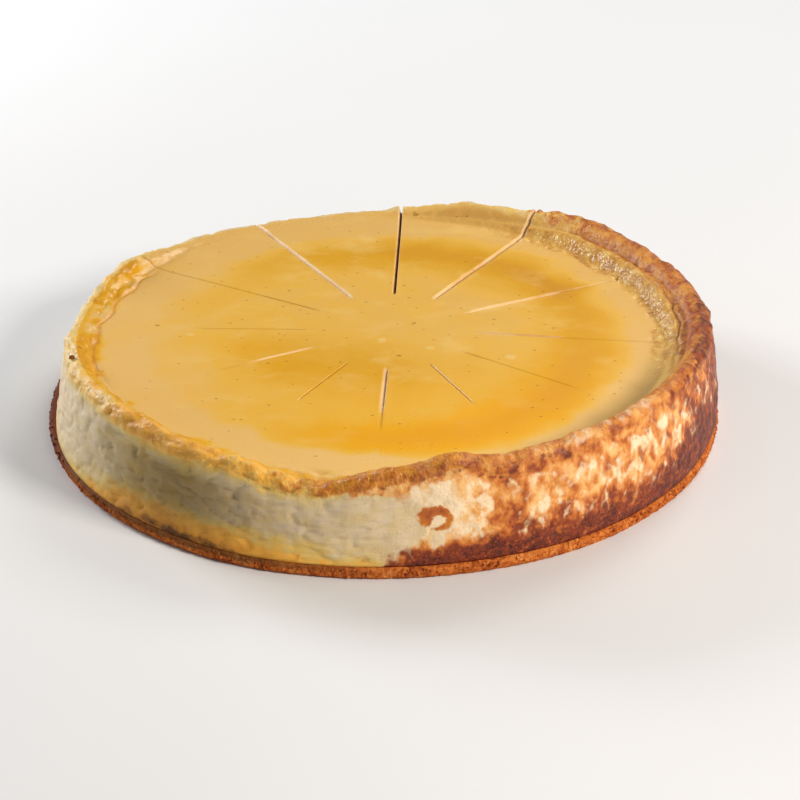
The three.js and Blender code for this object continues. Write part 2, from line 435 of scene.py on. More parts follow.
def profile_row(kind, share, azimuth):
    """Radius, height and outward slope (radial, vertical) of a station at each azimuth."""
    roll = settings_of("cheesecake_filling").rim_roll / MM
    crest, top = crest_radius(azimuth), crest_height(azimuth)
    line = WALL_LINE["radius"] + WALL_LINE["swing"] * towards_tall_side(azimuth)
    line = line + RIPPLE["foot"] * waviness(azimuth, 3)
    bare = BARE_LEDGE["rise"] * hump(azimuth, BARE_LEDGE["at"], BARE_LEDGE["spread"])
    foot = base_edge(azimuth) - FOOT_INSET - bare
    shoulder_radius, shoulder_height = crest + roll, top - roll
    flat = np.zeros_like(azimuth)
    if kind == "under":
        return (foot - FOOT_ROUNDING) * share, flat + FOOT, flat, flat - 1
    if kind == "wall":
        tuck = FOOT_TUCK * math.exp(-share * 35)
        radius = line + (shoulder_radius - line) * share + WALL_BELLY * math.sin(math.pi * share) - tuck
        radius = radius + (foot - line) * (1 - share) ** FOOT_FLARE
        return radius, FOOT + (shoulder_height - FOOT) * share, flat + 1, flat
    if kind == "shoulder":
        angle = share * math.pi / 2
        return (crest + roll * math.cos(angle), top - roll * (1 - math.sin(angle)),
                flat + math.cos(angle), flat + math.sin(angle))
    if kind == "inside":
        radius = crest + (POOL_EDGE - crest) * share
    else:
        radius = POOL_EDGE * (1 - share) + flat
    return radius, inner_height(azimuth, radius), flat, flat + 1


def build_filling():
    """The custard as one closed mesh, with the masks that its material reads."""
    stations = filling_stations()
    cuts = Cuts()
    shape = (len(stations), cuts.columns)
    azimuth = np.tile(cuts.even, (shape[0], 1))
    for _ in range(3):
        rows = [profile_row(kind, share, azimuth[j]) for j, (kind, share) in enumerate(stations)]
        radius, height, out, up = (np.array([row[i] for row in rows]) for i in range(4))
        on_top = np.array([kind in ("inside", "pool") for kind, _ in stations])[:, None]
        follow = np.where(on_top, smoothstep(14, 31, radius), smoothstep(24, 33, height))
        azimuth = cuts.azimuths(np.maximum(radius, 1), follow)
    turn = np.radians(azimuth)
    x, y = radius * np.cos(turn), radius * np.sin(turn)
    points = np.stack([x, y, height], -1)

    crest = crest_height(azimuth)
    rim = smoothstep(-8, -2, height - crest) * smoothstep(107, 113, radius)
    crust_starts = 118 - 2.5 * hump(azimuth, 315, 42) - 7.5 * hump(azimuth, 18, 42)
    crust_starts = crust_starts + 2.2 * lumps(points, 6, 3, 4)
    side = np.where(on_top, smoothstep(-1.6, 1.6, radius - crust_starts), 1.0)
    outer = np.where(on_top, smoothstep(-2.5, 1, radius - crest_radius(azimuth)), 1.0)
    wall = np.where(on_top, 0.0, 1.0) * smoothstep(FOOT, FOOT + 2, height)
    browned, scorch, ochre, curl, char, dull, amber_crest = bake_of_side(azimuth, height)
    pale_wall = wall * (1 - browned)
    turn_360 = np.mod(azimuth, 360)
    signed = turn_between(azimuth, 0)
    left = smoothstep(146, 152, turn_360) * (1 - smoothstep(262, 270, turn_360))
    right = smoothstep(-26, -16, signed) * (1 - smoothstep(52, 64, signed))
    back = hump(azimuth, 112, 30)
    wiggle = lumps(np.stack([x, y, np.zeros_like(x)], -1), 11, 2, 8)
    shelf = hump(azimuth, 24, 40) * smoothstep(101, 105, radius + 3 * wiggle)
    shelf = shelf * (1 - smoothstep(110.5, 114, radius))

    # The skin of the rim is crumpled, the side is dented and creased, and the top is nearly flat
    relief = rim * (1 - 0.5 * back) * (0.8 * lumps(points, 7, 3, 1) + 0.32 * lumps(points, 2.8, 2, 2))
    relief += left * rim * (
        0.9 * lumps(points, 6, 2, 9, (1, 1, 0.7)) - 0.4 * creases(points, 9, (1, 1, 0.6), 3))
    relief += 0.5 * hump(azimuth, 71, 9) * rim * lumps(points, 3, 3, 10)
    relief += wall * (0.55 * lumps(points, 13, 4, 3, (1, 1, 0.6)) + 0.18 * lumps(points, 2.6, 2, 5))
    relief += pale_wall * (-0.6 * creases(points, 12, (1, 1, 0.35), 5) - 1.1 * pits(points, 8.5, 0.9, 2))
    relief += pale_wall * 0.25 * lumps(points, 5, 3, 12, (1.5, 1.5, 0.5))
    relief += wall * browned * 0.22 * lumps(points, 2.2, 3, 11, (1, 1, 2.5))
    relief += -0.6 * pale_wall * np.exp(-(((crest - height - 9) / 3.5) ** 2)) * hump(azimuth, 222, 24)
    relief += shelf * (0.8 * lumps(points, 5, 2, 6) + 0.45 * lumps(points, 3, 1, 13))
    relief += np.where(on_top, 1 - rim, 0.0) * (
        0.22 * lumps(points, 38, 2, 7) + 0.05 * lumps(points, 9, 2, 14))
    relief = relief * smoothstep(-0.2, 0.6, height - FOOT)

    crease_radius = 108.5 + 5 * smoothstep(165, 215, turn_360) + 2 * smoothstep(235, 255, turn_360)
    crease_radius = crease_radius + 2.4 * wiggle
    crease = left * np.exp(-(((radius - crease_radius) / 0.8) ** 2)) * on_top
    crease_step = left * smoothstep(-0.6, 0.8, radius - crease_radius) * on_top
    crack_radius = 111.5 + 3.5 * smoothstep(10, 55, signed) + 2 * wiggle
    crack = right * np.exp(-(((radius - crack_radius) / 0.8) ** 2)) * on_top
    crack = crack * (0.35 + 0.65 * hump(azimuth, 0, 18))
    relief += -0.7 * crease + 0.6 * crease_step * (1 - rim) - 1.8 * crack

    bubbles = sum(np.exp(-((np.hypot(x - at[0], y - at[1]) / size) ** 2)) for *at, size in BUBBLES)
    relief += 0.25 * bubbles * on_top

    depth, flesh, slit, lip = cuts.depths(x, y)
    reach_down = np.where(on_top, 1.0, smoothstep(27, 34, height))
    depth, flesh, slit, lip = (v * reach_down * (radius > 20) for v in (depth, flesh, slit, lip))
    crumbly = 0.07 * flesh * lumps(points, 2, 2, 15)
    travel = relief * (1 - flesh) + lip + crumbly - depth
    radius = radius + out * travel
    height = height + up * travel
    height = np.where(np.array([kind == "under" for kind, _ in stations])[:, None], FOOT, height)
    x, y = radius * np.cos(turn), radius * np.sin(turn)

    patchy = smoothstep(0.0, 0.5, lumps(points, 9, 3, 16))
    glazed = 0.75 * left * smoothstep(104, 110, radius) * patchy * (1 - smoothstep(240, 254, turn_360))
    glazed = glazed + 0.5 * crease_step * smoothstep(113, 116, radius)
    # Painted shadow that the rim casts on the pool at the front right
    shade = 0.28 * hump(azimuth, 330, 24) * smoothstep(95, 106, radius) * (1 - side)
    # Painted light: the top is laid lighter at the front and the left, where the lamps fall on it
    sunny = np.maximum(hump(azimuth, 285, 60), 0.55 * hump(azimuth, 192, 42))
    masks = {
        "amber": amber_of_top(x + 3 * wiggle, y + 3 * np.roll(wiggle, 40, axis=1)) + glazed,
        "sunny": sunny * smoothstep(20, 75, radius),
        "browned": browned, "scorch": scorch, "ochre": ochre, "curl": curl * (wall > 0.5),
        "amber_crest": amber_crest * smoothstep(-2, 0, radius - crust_starts),
        "bubbles": bubbles * on_top, "char": char, "dull": np.where(wall > 0.5, dull, shade),
        "side": side, "rim": rim * np.ones(shape), "outer": outer,
        "flesh": flesh, "slit": slit, "wet": shelf, "crease": np.maximum(crease, crack),
    }
    coordinates = np.stack([x, y, height], -1)
    inner = slice(1, shape[0] - 1)
    middles = [coordinates[0].mean(0)], [coordinates[-1].mean(0)]
    vertices = np.vstack([coordinates[inner].reshape(-1, 3), *middles])
    count, rows = cuts.columns, shape[0] - 2
    column = np.arange(count)
    following = (column + 1) % count
    faces = []
    for row in range(rows - 1):
        low, high = row * count, (row + 1) * count
        faces += np.stack([low + following, low + column, high + column, high + following], -1).tolist()
    low_pole, high_pole, last = rows * count, rows * count + 1, (rows - 1) * count
    faces += np.stack([column, following, np.full(count, low_pole)], -1).tolist()
    faces += np.stack([last + following, last + column, np.full(count, high_pole)], -1).tolist()
    mesh = bpy.data.meshes.new("custard")
    mesh.from_pydata((vertices * MM).tolist(), [], faces)
    mesh.polygons.foreach_set("use_smooth", np.ones(len(faces), bool))
    for name, values in masks.items():
        flat = np.concatenate([values[inner].ravel(), [values[0].mean()], [values[-1].mean()]])
        mesh.attributes.new(name, "FLOAT", "POINT").data.foreach_set("value", flat.astype(np.float32))
    mesh.validate()
    return mesh


# ---------------------------------------------------------------------------------------------------------
# Materials

MASKS = (
    "amber", "sunny", "browned", "scorch", "ochre", "curl", "char", "dull", "bubbles", "amber_crest",
    "side", "rim", "outer", "flesh", "slit", "wet", "crease")
FLECKS = ((7, 0.065, 0.15, 0.0), (14, 0.06, 0.3, 4.3), (4.5, 0.08, 0.4, 8.1))  # spacing, size, share, offset


def new_material(name):
    material = bpy.data.materials.new(name)
    material.use_nodes = True
    tree = material.node_tree
    shader = tree.nodes["Principled BSDF"]
    return material, tree, shader


class Skin:
    """What the parts of the custard's material share: its masks, its patterns and their sums."""

    def __init__(self, tree):
        self.add = partial(node, tree)
        place = self.add("coordinates").outputs["Object"]
        self.place_mm = self.add("mapping", place, {"Scale": (1 / MM,) * 3})
        self.mask = {name: self.add("attribute", attribute_name=name).outputs["Fac"] for name in MASKS}
        self.fine = self.pattern(0.9, 2, offset=(2, 8, 4))
        self.small = self.pattern(2.4, 3, offset=(7, 1, 3))
        self.middling = self.pattern(6, 3, offset=(5, 1, 7))
        self.wide = self.pattern(18, 3)

    def pattern(self, size, detail=3.0, stretch=(1, 1, 1), distortion=0.0, offset=(0, 0, 0)):
        """Noise whose blobs are a size in millimetres, as a value about 0."""
        place = self.add("mapping", self.place_mm, offset, {"Scale": tuple(1 / (size * k) for k in stretch)})
        cloud = self.add("noise", place, 1.0, detail, 0.55, {"Distortion": distortion})
        return self.add("SUBTRACT", cloud, 0.5)

    def weighted(self, *terms):
        """The sum of some values, each times its weight."""
        total = 0.0
        for value, weight in terms:
            total = self.add("MULTIPLY_ADD", value, weight, total)
        return total


def top_colour(skin, s):
    """The top: straw to amber, with dark flecks of sugar and vanilla, painted sheen and highlights, painted
    light at the front and the rim's painted shadow.
    """
    add, mask, weighted = skin.add, skin.mask, skin.weighted
    amber = weighted((mask["amber"], 1.0), (skin.wide, 0.4), (skin.small, 0.10), (skin.fine, 0.06))
    back_tones = add("ramp", amber, (0.0, s.border), (0.26, s.straw), (0.60, s.amber), (1.0, s.deep_amber))
    # Lit copies of the top's colours, for the painted light at the front
    lit_tones = add("ramp", amber, (0.0, s.lit_border), (0.26, s.lit_straw), (0.60, s.lit_amber),
                      (1.0, s.lit_deep))
    top = add("mix", mask["sunny"], back_tones, lit_tones)
    # Painted sheen: slow pale clouds that stand in for the glossy top's reflection, fainter at the front
    cloud = add("step", skin.pattern(15, 3, (1.3, 1, 1), 0.3, (3, 3, 3)), 0.0, 0.25)
    painted_sheen_share = add("MULTIPLY_ADD", mask["sunny"], -0.32, 0.42)
    top = add("mix", add("MULTIPLY", cloud, painted_sheen_share), top, s.painted_sheen)
    # Painted highlights: pale spots over each small bubble mark
    painted_glints = add("step", weighted((mask["bubbles"], 1.0), (skin.small, 0.8)), 0.3, 0.7)
    top = add("mix", add("MULTIPLY", painted_glints, 0.6), top, s.painted_sheen)
    for cell, width, share, offset in FLECKS:
        place = add("mapping", skin.place_mm, (offset,) * 3, {"Scale": (0.7 / cell, 1 / cell, 0.02)})
        flecks = add("cells", place, 1.0)
        chosen = add("GREATER_THAN", add("channels", flecks.outputs["Color"]), share)
        near = add("LESS_THAN", weighted((flecks, 1.0), (skin.fine, 0.05)), width)
        top = add("mix", add("MULTIPLY", add("MULTIPLY", chosen, near), 0.5), top, s.fleck)
    # Painted shadow of the rim over the edge of the pool at the front right
    return add("mix", mask["dull"], top, s.painted_shade_tone)


def pale_colour(skin, s):
    """The pale side: cream, yellowing to ochre and amber in soft blotches where it took some heat, with
    painted shade where it lies between the lamps and along fine folds.
    """
    add, mask = skin.add, skin.mask
    smear = skin.pattern(6, 3, (1.5, 1.5, 0.6), 0.4, (6, 3, 2))
    heat = skin.weighted((mask["ochre"], 1.0), (smear, 0.5), (skin.middling, 0.35), (skin.wide, 0.3),
                         (skin.small, 0.15), (skin.fine, 0.06), (mask["crease"], 0.25))
    pale = add("ramp", heat, (0.0, s.cream), (0.20, s.ivory), (0.38, s.butter), (0.54, s.ochre),
               (0.84, s.honey_brown), (1.0, s.dark_ochre))
    # Painted shade where the side lies between the lamps
    pale = add("mix", add("MULTIPLY", mask["dull"], 0.75), pale, s.painted_shade_tone)
    # Painted shade along fine folds of the side
    fold = add("ABSOLUTE", skin.pattern(11, 1.5, (1.8, 1.8, 0.35), 0.3, (8, 8, 3)))
    fold_shade = add("SUBTRACT", 1.0, add("step", fold, 0.0, 0.06))
    return add("mix", add("MULTIPLY", fold_shade, 0.07), pale, s.painted_shade_tone)


def brown_colour(skin, s, pale):
    """The browned side: peach to caramel, with upright windows left pale, and a scorched band in tongues.

    The windows run on from the pale side as cream, and turn to peach further round.
    """
    add, weighted, pattern = skin.add, skin.weighted, skin.pattern
    fine, small, middling = skin.fine, skin.small, skin.middling
    scorch, char, outer = skin.mask["scorch"], skin.mask["char"], skin.mask["outer"]
    streak = pattern(4.5, 2, (1, 1, 1.4), 0.5, (1, 6, 2))
    baked = weighted((streak, 1.3), (middling, 0.9), (small, 0.45), (fine, 0.12), (scorch, 0.52),
                     (char, 0.12))
    brown = add("ramp", add("ADD", baked, 0.41), (0.14, s.peach), (0.36, s.apricot), (0.56, s.caramel),
                (0.76, s.russet), (1.0, s.maroon))
    patch = pattern(6, 1.5, (1, 1, 1.4), 0.4, (9, 2, 5))
    window = weighted((patch, 1.1), (small, 0.4), (scorch, -0.20), (char, -0.36))
    light = add("mix", add("step", weighted((small, 1.0), (window, 0.8)), -0.15, 0.25), s.peach, s.window)
    light = add("mix", add("step", skin.mask["browned"], 0.55, 1.0), pale, light)
    brown = add("mix", add("MULTIPLY", add("step", window, -0.08, 0.16), 0.92), brown, light)
    patch = pattern(4, 1.5, (1, 1, 1.6), 0.3, (3, 7, 7))
    glow = weighted((patch, 1.0), (window, 0.6), (scorch, -0.16), (char, -0.2))
    brown = add("mix", add("MULTIPLY", add("step", glow, 0.03, 0.27), 0.85), brown, s.window)
    patch = pattern(5, 3, (1, 1, 1.4), 0.3, (2, 2, 8))
    tongue = weighted((scorch, 1.0), (patch, 1.9), (small, 0.7), (fine, 0.3))
    scorched = add("ADD", weighted((fine, 1.4), (small, 1.5), (middling, 0.8)), 0.48)
    scorched = add("ramp", scorched, (0.15, s.scorched), (0.45, s.maroon), (0.7, s.russet), (1.0, s.caramel))
    brown = add("mix", add("MULTIPLY", add("step", tongue, 0.56, 0.84), 0.92), brown, scorched)
    crest = add("ADD", weighted((middling, 1.8), (small, 1.2), (char, 0.2)), 0.44)
    crest = add("ramp", crest, (0.35, s.crest), (0.75, s.caramel), (1.0, s.russet))
    inside = add("SUBTRACT", 1.0, add("MULTIPLY", outer, 0.6))
    brown = add("mix", add("MULTIPLY", skin.mask["rim"], inside), brown, crest)
    patch = pattern(5.5, 2, (1.2, 1.2, 0.8), 0.4, (4, 9, 1))
    blister = weighted((char, 0.6), (patch, 2.0), (small, 0.6), (scorch, 0.2))
    blistered = add("MULTIPLY", add("step", blister, 0.48, 0.82), add("MULTIPLY_ADD", outer, 0.85, 0.05))
    return add("mix", blistered, brown, s.maroon)


def custard_material(s):
    """Baked custard: a satin egg-and-cream skin that goes from straw to amber, caramel and dark crust."""
    material, tree, shader = new_material("baked custard")
    skin = Skin(tree)
    add, mask, weighted = skin.add, skin.mask, skin.weighted
    fine, small, middling = skin.fine, skin.small, skin.middling

    pale = pale_colour(skin, s)
    browned = weighted((mask["browned"], 1.0), (middling, 1.3), (small, 0.5), (mask["scorch"], 0.12))
    browned = add("step", browned, 0.34, 0.66)
    crust = add("mix", browned, pale, brown_colour(skin, s, pale))
    curl = weighted((mask["curl"], 1.4), (middling, 1.9), (small, 1.0))
    tones = add("ramp", weighted((curl, 0.4), (middling, 1.2), (small, 0.5)), (0.15, s.honey_brown),
                (0.5, s.caramel), (1.0, s.russet))
    crust = add("mix", add("step", curl, 0.6, 1.0), crust, tones)
    # Syrup-brown glaze along the crest where the pale side turns brown
    glaze = add("step", weighted((mask["amber_crest"], 1.0), (middling, 1.5), (small, 0.6)), 0.25, 0.65)
    tones = add("ADD", weighted((middling, 1.6), (small, 1.2), (mask["char"], 0.3)), 0.3)
    tones = add("ramp", tones, (0.1, s.glaze), (0.5, s.dark_glaze), (0.9, s.russet))
    crust = add("mix", add("MULTIPLY", glaze, 0.85), crust, tones)
    colour = add("mix", mask["side"], top_colour(skin, s), crust)
    # Syrupy, puckered skin on the shelf, then the creases and the cuts
    tones = add("ADD", weighted((small, 0.9), (middling, 1.2)), 0.5)
    tones = add("ramp", tones, (0.2, s.wet_dark), (0.5, s.wet_skin), (0.8, s.butter))
    wet = add("step", weighted((mask["wet"], 1.0), (small, 0.5), (fine, 0.2)), 0.25, 0.5)
    colour = add("mix", add("MULTIPLY", wet, 0.85), colour, tones)
    colour = add("mix", add("MULTIPLY", mask["crease"], 0.55), colour, s.honey_brown)
    flesh = add("mix", add("step", skin.wide, -0.2, 0.3), s.flesh, s.flesh_shade)
    colour = add("mix", mask["flesh"], colour, flesh)
    # Painted shade down in the cuts, darkest at their bottoms and on their narrow walls
    colour = add("mix", add("MULTIPLY", mask["slit"], 0.75), colour, s.slit)

    # Glossier where it is wet or browned, drier in the cuts and where it is scorched
    shiny_brown = add("MULTIPLY", browned, mask["side"])
    gloss = weighted((mask["side"], 0.16), (mask["rim"], -0.06), (mask["wet"], -0.2), (fine, 0.3),
                     (shiny_brown, -0.12), (mask["scorch"], 0.08), (mask["flesh"], 0.3), (skin.wide, 0.2))
    depth = add("MULTIPLY", mask["side"], weighted((mask["browned"], 0.45), (mask["rim"], 0.8)))
    depth = weighted((depth, 1.0), (mask["side"], 0.18), (0.05, 1.0))
    wrinkles = weighted((skin.pattern(1.1, 3, offset=(4, 4, 1)), 1.0), (small, 1.0), (fine, 0.4))
    puckers = weighted((skin.pattern(2.2, 2, offset=(1, 4, 6)), 3.2), (small, 1.6))
    relief = add("ADD", add("MULTIPLY", wrinkles, depth), add("MULTIPLY", puckers, mask["wet"]))
    fill(tree, shader, {
        "Base Color": colour,
        "Roughness": add("ADD", gloss, 0.36),
        "Normal": add("bump", {"Height": relief, "Strength": 0.7, "Distance": 0.6 * MM}),
        "IOR": 1.42,
        "Specular IOR Level": add("MULTIPLY_ADD", mask["slit"], -0.4, 0.45),
        "Subsurface Weight": 0.1,
        "Subsurface Radius": (1.0, 0.55, 0.25),
        "Subsurface Scale": 2 * MM})
    return material


def biscuit_material(name, s):
    """Pressed biscuit: dry, sandy crumbs baked together, toasted darker in patches."""
    material, tree, shader = new_material(name)
    add = partial(node, tree)
    place_mm = add("mapping", add("coordinates").outputs["Object"], {"Scale": (1 / MM,) * 3})
    patches = add("noise", place_mm, 1 / BISCUIT_GRAIN["patch"], 3.0)
    grains = add("cells", place_mm, 1 / BISCUIT_GRAIN["crumb"])
    tone = add("MULTIPLY_ADD", patches, 0.9, -0.2)
    tone = add("MULTIPLY_ADD", add("channels", grains.outputs["Color"]), 0.42, tone)
    colour = add("ramp", tone, (0.12, s.toasted), (0.42, s.biscuit), (0.70, s.pale_crumb), (0.9, s.sandy))
    # Custard that seeped into its upper half on the side that stayed pale, its colour darkened further as
    # painted shade under the overhanging side, and the far left is darker
    place = add("separate", place_mm)
    upper = add("step", add("MULTIPLY_ADD", patches, 3.0, place.outputs["Z"]), 3.6, 5.2)
    pale_side = add("step", place.outputs["X"], 10.0, -50.0)
    soaked_and_shaded = add("MULTIPLY", add("MULTIPLY", upper, pale_side), 0.8)
    colour = add("mix", soaked_and_shaded, colour, s.soaked_and_shaded)
    far_left = add("step", place.outputs["X"], -112.0, -125.0, 0.0, 0.75)
    colour = add("mix", far_left, colour, s.toasted)
    sand = add("noise", place_mm, 1 / BISCUIT_GRAIN["sand"], 3.0)
    fill(tree, shader, {
        "Base Color": colour,
        "Roughness": add("MULTIPLY_ADD", sand, 0.25, 0.6),
        "Normal": add("bump", {"Height": sand, "Strength": 0.6, "Distance": 0.4 * MM}),
        "Specular IOR Level": 0.1})
    return material


def card_material(s):
    """Matt card under studio light: nearly even, with the faintest cloudiness."""
    material, tree, shader = new_material("studio card")
    add = partial(node, tree)
    cloud = add("noise", add("coordinates").outputs["Object"], 3.0, 2.0)
    dim = [0.97 * channel for channel in s.floor[:3]] + [1.0]
    fill(tree, shader, {"Base Color": add("ramp", cloud, (0.3, dim), (0.7, s.floor)), "Roughness": 0.8})
    return material


# ---------------------------------------------------------------------------------------------------------
# Node trees for the base and its crumbs


def geometry_tree(name, sockets):
    """An empty tree with a geometry output and these inputs, each a name and a kind."""
    tree = bpy.data.node_groups.new(name, "GeometryNodeTree")
    for way in ("INPUT", "OUTPUT"):
        tree.interface.new_socket("Geometry", in_out=way, socket_type="NodeSocketGeometry")
    for socket_name, kind in sockets.items():
        tree.interface.new_socket(socket_name, in_out="INPUT", socket_type="NodeSocket" + kind)
    return tree, node(tree, "NodeGroupInput").outputs


def end_tree(tree, geometry, material):
    """Realizes a tree's geometry, gives it its material and puts it out."""
    real = node(tree, "GeometryNodeRealizeInstances", geometry)
    node(tree, "NodeGroupOutput", node(tree, "GeometryNodeSetMaterial", real, {"Material": material}))
    return tree


def made_by_nodes(name, tree, values):
    """Runs a tree on an empty mesh with these input values, and returns the plain mesh as an object."""
    maker = bpy.data.objects.new(name + "_maker", bpy.data.meshes.new(name + "_maker"))
    bpy.context.scene.collection.objects.link(maker)
    modifier = maker.modifiers.new("nodes", "NODES")
    modifier.node_group = tree
    for item in tree.interface.items_tree:
        if item.in_out == "INPUT" and item.name in values:
            modifier[item.identifier] = values[item.name]
    evaluated = maker.evaluated_get(bpy.context.evaluated_depsgraph_get())
    mesh = bpy.data.meshes.new_from_object(evaluated)
    bpy.data.objects.remove(maker)
    mesh.name = name
    piece = bpy.data.objects.new(name, mesh)
    bpy.context.scene.collection.objects.link(piece)
    return piece


def base_tree(material):
    """A disc whose rounded edge is rough with pressed crumbs, and a little uneven round the cake."""
    tree, given = geometry_tree("pressed biscuit disc", {
        "Radius": "Float", "Thickness": "Float", "Slip": "Float", "Edge": "Float", "Grain": "Float",
        "Grain Size": "Float", "Columns": "Int", "Rows": "Int"})
    add = partial(node, tree)
    disc = add("GeometryNodeMeshCylinder", {
        "Vertices": given["Columns"], "Side Segments": given["Rows"], "Fill Segments": 8,
        "Radius": given["Radius"], "Depth": given["Thickness"]}, fill_type="TRIANGLE_FAN")
    position = add("GeometryNodeInputPosition")
    x, y, z = add("separate", position).outputs
    across = add("SQRT", add("ADD", add("MULTIPLY", x, x), add("MULTIPLY", y, y)))
    share = add("DIVIDE", across, given["Radius"])  # 0 in the middle, 1 at the edge
    turn = add("ARCTAN2", y, x)
    tall = add("COSINE", add("SUBTRACT", turn, math.radians(TALL_SIDE)))
    up = add("DIVIDE", z, given["Thickness"])  # -0.5 to 0.5
    # The edge draws in towards its top and bottom, as a superellipse does
    level = add("POWER", add("ABSOLUTE", add("MULTIPLY", up, 2.0)), 3.0)
    curl = add("SUBTRACT", 1.0, add("POWER", add("MAXIMUM", 0.0, add("SUBTRACT", 1.0, level)), 0.5))
    inset = add("MULTIPLY", curl, given["Edge"])
    wave = None
    for waves, amount, phase in WAVES:
        term = add("SINE", add("MULTIPLY_ADD", turn, float(waves), BASE_EDGE["seed"] * phase))
        term = add("MULTIPLY", amount, term)
        wave = term if wave is None else add("ADD", wave, term)
    edge = add("MULTIPLY", wave, BASE_EDGE["ripple"] * MM)
    edge = add("SUBTRACT", edge, add("MULTIPLY", tall, given["Slip"]))
    for at, spread, rise in BASE_BULGES:
        away = add("SUBTRACT", add("COSINE", add("SUBTRACT", turn, math.radians(at))), 1.0)
        bulge = add("EXPONENT", add("MULTIPLY", away, 2 / math.radians(spread) ** 2))
        edge = add("ADD", edge, add("MULTIPLY", bulge, rise * MM))
    coarse = add("noise", position, add("DIVIDE", 0.4, given["Grain Size"]), 2.0)
    fine = add("cells", position, add("DIVIDE", 1.0, given["Grain Size"]))
    rough = add("ADD", add("SUBTRACT", add("MULTIPLY", coarse, 2.0), 1.0), add("SUBTRACT", 0.45, fine))
    rough = add("MULTIPLY", rough, given["Grain"])
    near_edge = add("POWER", share, 12.0)
    reach = add("DIVIDE", add("ADD", add("SUBTRACT", edge, inset), rough), given["Radius"])
    scale = add("ADD", 1.0, add("MULTIPLY", near_edge, reach))
    upper = add("MULTIPLY", add("GREATER_THAN", up, 0.3), add("MULTIPLY", near_edge, 0.5))
    dip = add("MINIMUM", add("MULTIPLY", rough, upper), 0.0)
    height = add("ADD", add("ADD", z, add("DIVIDE", given["Thickness"], 2.0)), dip)
    moved = add("combine", add("MULTIPLY", x, scale), add("MULTIPLY", y, scale), height)
    shaped = add("GeometryNodeSetPosition", disc, {"Position": moved})
    return end_tree(tree, add("GeometryNodeSetShadeSmooth", shaped), material)


def crumb_tree(material, carrier):
    """Broken crumbs scattered over the side of the base, in random sizes and turns, and one stray."""
    tree, given = geometry_tree("loose crumbs", {
        "Density": "Float", "Smallest": "Float", "Largest": "Float", "Seed": "Int", "Stray Place": "Vector",
        "Stray Size": "Float"})
    add = partial(node, tree)
    base = add("GeometryNodeObjectInfo", carrier)
    slope = add("separate", add("GeometryNodeInputNormal")).outputs["Z"]
    level = add("separate", add("GeometryNodeInputPosition")).outputs["Z"]
    upright = add("MULTIPLY", add("LESS_THAN", slope, 0.6), add("GREATER_THAN", slope, -0.7))
    clear_of_floor = add("GREATER_THAN", level, add("MULTIPLY", given["Largest"], 1.4))
    spread = add("GeometryNodeDistributePointsOnFaces", {
        "Mesh": base.outputs["Geometry"], "Selection": add("MULTIPLY", upright, clear_of_floor),
        "Density": given["Density"], "Seed": given["Seed"]})
    crumb = add("GeometryNodeMeshIcoSphere", 1.0, 1)
    size = add("random", given["Smallest"], given["Largest"], {"Seed": given["Seed"]})
    squashed = add("random", (0.6, 0.5, 0.4), (1.3, 1.0, 0.8), {"Seed": 3}, data_type="FLOAT_VECTOR")
    turns = add("random", (0, 0, 0), (6.28, 6.28, 6.28), {"Seed": 5}, data_type="FLOAT_VECTOR")
    scattered = add("GeometryNodeInstanceOnPoints", {
        "Points": spread, "Instance": crumb, "Rotation": turns, "Scale": add("scaled", squashed, size)})
    stray = add("GeometryNodeTransform", {
        "Geometry": crumb, "Translation": given["Stray Place"], "Rotation": (0.4, 0.2, 0.9),
        "Scale": add("scaled", (1.0, 0.7, 0.6), given["Stray Size"])})
    joined = add("GeometryNodeJoinGeometry", scattered)
    fill(tree, joined, {"Geometry": stray})
    return end_tree(tree, joined, material)


# ---------------------------------------------------------------------------------------------------------
# Settings, operators and panel


